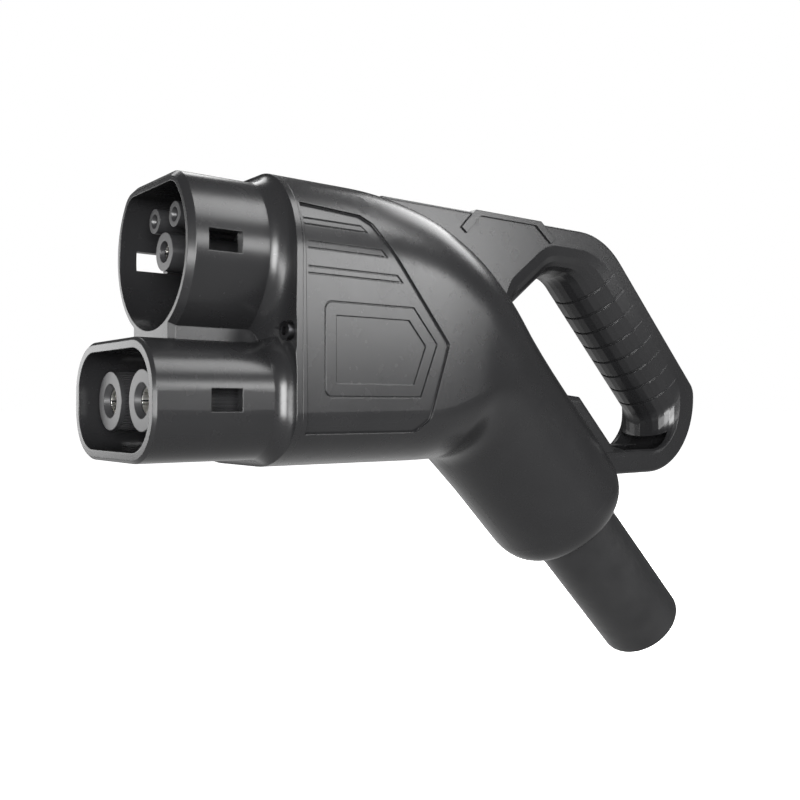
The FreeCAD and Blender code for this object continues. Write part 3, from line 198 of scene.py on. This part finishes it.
# Each material's function, dark and light colour, roughness and further settings
PALETTE = {
    "shell_plastic": (moulded, (0.0055, 0.0055, 0.0058), (0.0068, 0.0068, 0.0071), 0.27),
    "insert_plastic": (moulded, (0.008, 0.008, 0.0084), (0.011, 0.011, 0.0115), 0.33),
    "inner_plastic": (moulded, (0.05, 0.05, 0.055), (0.07, 0.07, 0.075), 0.5),
    "contact_metal": (metal, (0.55, 0.54, 0.51), (0.80, 0.79, 0.76), 0.28),
    "conductor_copper": (metal, (0.50, 0.24, 0.13), (0.78, 0.44, 0.30), 0.35, 1400.0),
    "sheath_rubber": (rubbery, (0.0055, 0.0055, 0.0058), (0.008, 0.008, 0.0083), 0.36),
    "filler_rubber": (rubbery, (0.05, 0.05, 0.05), (0.09, 0.09, 0.09), 0.75),
    "seal_rubber": (rubbery, (0.014, 0.014, 0.015), (0.022, 0.022, 0.023), 0.6),
    "core_red": (rubbery, (0.42, 0.03, 0.02), (0.60, 0.06, 0.05), 0.45),
    "core_black": (rubbery, (0.02, 0.02, 0.02), (0.035, 0.035, 0.035), 0.45),
    "core_green": (striped, (0.06, 0.30, 0.05), (0.75, 0.62, 0.06)),
    "core_grey": (rubbery, (0.30, 0.30, 0.32), (0.42, 0.42, 0.44), 0.45),
    "sensor_plastic": (moulded, (0.62, 0.62, 0.58), (0.72, 0.72, 0.68), 0.5),
    "board_laminate": (moulded, (0.02, 0.16, 0.06), (0.03, 0.22, 0.08), 0.35),
    "resistor_body": (moulded, (0.05, 0.05, 0.05), (0.09, 0.09, 0.09), 0.4),
    "screw_steel": (metal, (0.015, 0.015, 0.016), (0.035, 0.035, 0.037), 0.4),
}
MATERIALS = {name: make(name, *settings) for name, (make, *settings) in PALETTE.items()}

slots = {entry["node"]: entry["material_slot"] for entry in frame["record"]["subparts"]}
for name, node in frame["nodes"].items():
    node.data.materials.clear()
    node.data.materials.append(MATERIALS[slots[name]])


# Studio

FLOOR_GAP = 0.012
FLOOR_HALF = 40.0
FLOOR_EMISSION = 0.95
ROOM_LIGHT = 0.12
FLOOR_LIGHT = 1.0
FLOOR_LIGHT_ENDS = -0.05     # height of a direction, from -1 straight down to 1 straight up
FLOOR_LIGHT_FULL = -0.35
WHITE = (1.0, 1.0, 1.0, 1.0)
MIDDLE = Vector((0.09, 0.0, -0.04))
LIGHT_RANGE = 1.2
SOFTBOXES = [
    # name, azimuth and elevation in degrees, width and height in metres, watts
    ("upper_box", -50, 50, 0.55, 0.5, 14.5),
    ("side_strip", -60, 12, 0.64, 0.26, 15.0),
    ("front_fill", -122, 2, 0.7, 0.6, 70.0),
    ("far_fill", 116, 4, 0.6, 0.34, 3.2),
    ("low_fill", -165, -3, 0.8, 0.22, 20.0),
    ("far_box", 80, 52, 0.7, 0.5, 7.0),
    ("tail_box", 15, 40, 0.6, 0.5, 6.0),
]


def stage_floor():
    """Wide pale floor a little under the cable's end, lit evenly like a light table.

    The plastic doesn't mirror it: studio_world gives the light from below.
    """
    level = cad_box[0][2] - FLOOR_GAP
    corners = [(-FLOOR_HALF, -FLOOR_HALF, level), (FLOOR_HALF, -FLOOR_HALF, level),
               (FLOOR_HALF, FLOOR_HALF, level), (-FLOOR_HALF, FLOOR_HALF, level)]
    mesh = bpy.data.meshes.new("floor")
    mesh.from_pydata(corners, [], [(0, 1, 2, 3)])
    floor = bpy.data.objects.new("floor", mesh)
    bpy.context.collection.objects.link(floor)
    n = Nodes("floor_paper")
    n.soft_specular(PAPER_SPECULAR)
    n.shader.inputs["Emission Color"].default_value = WHITE
    n.shader.inputs["Emission Strength"].default_value = FLOOR_EMISSION
    paper = n.noise(12.0, 5.0)
    n.finish(n.blend(n.spread(paper, 0.0, 1.0), (0.93, 0.93, 0.93), (0.95, 0.95, 0.95)),
             n.spread(paper, 0.8, 0.9))
    floor.data.materials.append(n.material)
    floor.visible_diffuse = False
    floor.visible_glossy = False


def softbox(name, azimuth, elevation, width, height, power):
    """Rectangular soft light that stands at a range from MIDDLE and faces it."""
    turn = math.radians(azimuth)
    rise = math.radians(elevation)
    away = Vector((math.cos(turn) * math.cos(rise),
                   math.sin(turn) * math.cos(rise),
                   math.sin(rise)))
    light = bpy.data.lights.new(name, "AREA")
    light.shape = "RECTANGLE"
    light.size = width
    light.size_y = height
    light.energy = power
    lamp = bpy.data.objects.new(name, light)
    lamp.location = MIDDLE + LIGHT_RANGE * away
    lamp.rotation_euler = (-away).to_track_quat("-Z", "Y").to_euler()
    bpy.context.collection.objects.link(lamp)


def studio_world():
    """White backdrop. The room that the plastic mirrors is dim above and pale below."""
    world = bpy.data.worlds.new("studio")
    bpy.context.scene.world = world
    world.use_nodes = True
    nodes = world.node_tree.nodes
    links = world.node_tree.links
    room = nodes["Background"]
    room.inputs["Color"].default_value = WHITE
    direction = nodes.new("ShaderNodeTexCoord")
    parts = nodes.new("ShaderNodeSeparateXYZ")
    glow = nodes.new("ShaderNodeMapRange")
    glow.inputs["From Min"].default_value = FLOOR_LIGHT_FULL
    glow.inputs["From Max"].default_value = FLOOR_LIGHT_ENDS
    glow.inputs["To Min"].default_value = FLOOR_LIGHT
    glow.inputs["To Max"].default_value = ROOM_LIGHT
    links.new(direction.outputs["Generated"], parts.inputs["Vector"])
    links.new(parts.outputs["Z"], glow.inputs["Value"])
    links.new(glow.outputs["Result"], room.inputs["Strength"])
    backdrop = nodes.new("ShaderNodeBackground")
    backdrop.inputs["Color"].default_value = WHITE
    backdrop.inputs["Strength"].default_value = 1.0
    path = nodes.new("ShaderNodeLightPath")
    mix = nodes.new("ShaderNodeMixShader")
    links.new(path.outputs["Is Camera Ray"], mix.inputs["Fac"])
    links.new(room.outputs["Background"], mix.inputs[1])
    links.new(backdrop.outputs["Background"], mix.inputs[2])
    links.new(mix.outputs["Shader"], nodes["World Output"].inputs["Surface"])


stage_floor()
studio_world()
bpy.context.scene.view_settings.view_transform = "Standard"
for box in SOFTBOXES:
    softbox(*box)


# Camera, fitted to the photograph

CAMERA_PLACE = Vector((-0.13319, -0.29882, -0.05392))
CAMERA_PAN = math.radians(38.34)
CAMERA_TILT = math.radians(0.55)
CAMERA_LENS = 41.64
SENSOR_WIDTH = 36.0

ahead = Vector((math.sin(CAMERA_PAN) * math.cos(CAMERA_TILT),
                math.cos(CAMERA_PAN) * math.cos(CAMERA_TILT),
                math.sin(CAMERA_TILT)))
camera = bpy.data.objects.new("camera", bpy.data.cameras.new("camera"))
camera.data.lens = CAMERA_LENS
camera.data.sensor_width = SENSOR_WIDTH
camera.data.clip_start = 0.01
camera.data.clip_end = 100.0
camera.location = CAMERA_PLACE
camera.rotation_euler = ahead.to_track_quat("-Z", "Y").to_euler()
bpy.context.collection.objects.link(camera)
bpy.context.scene.camera = camera
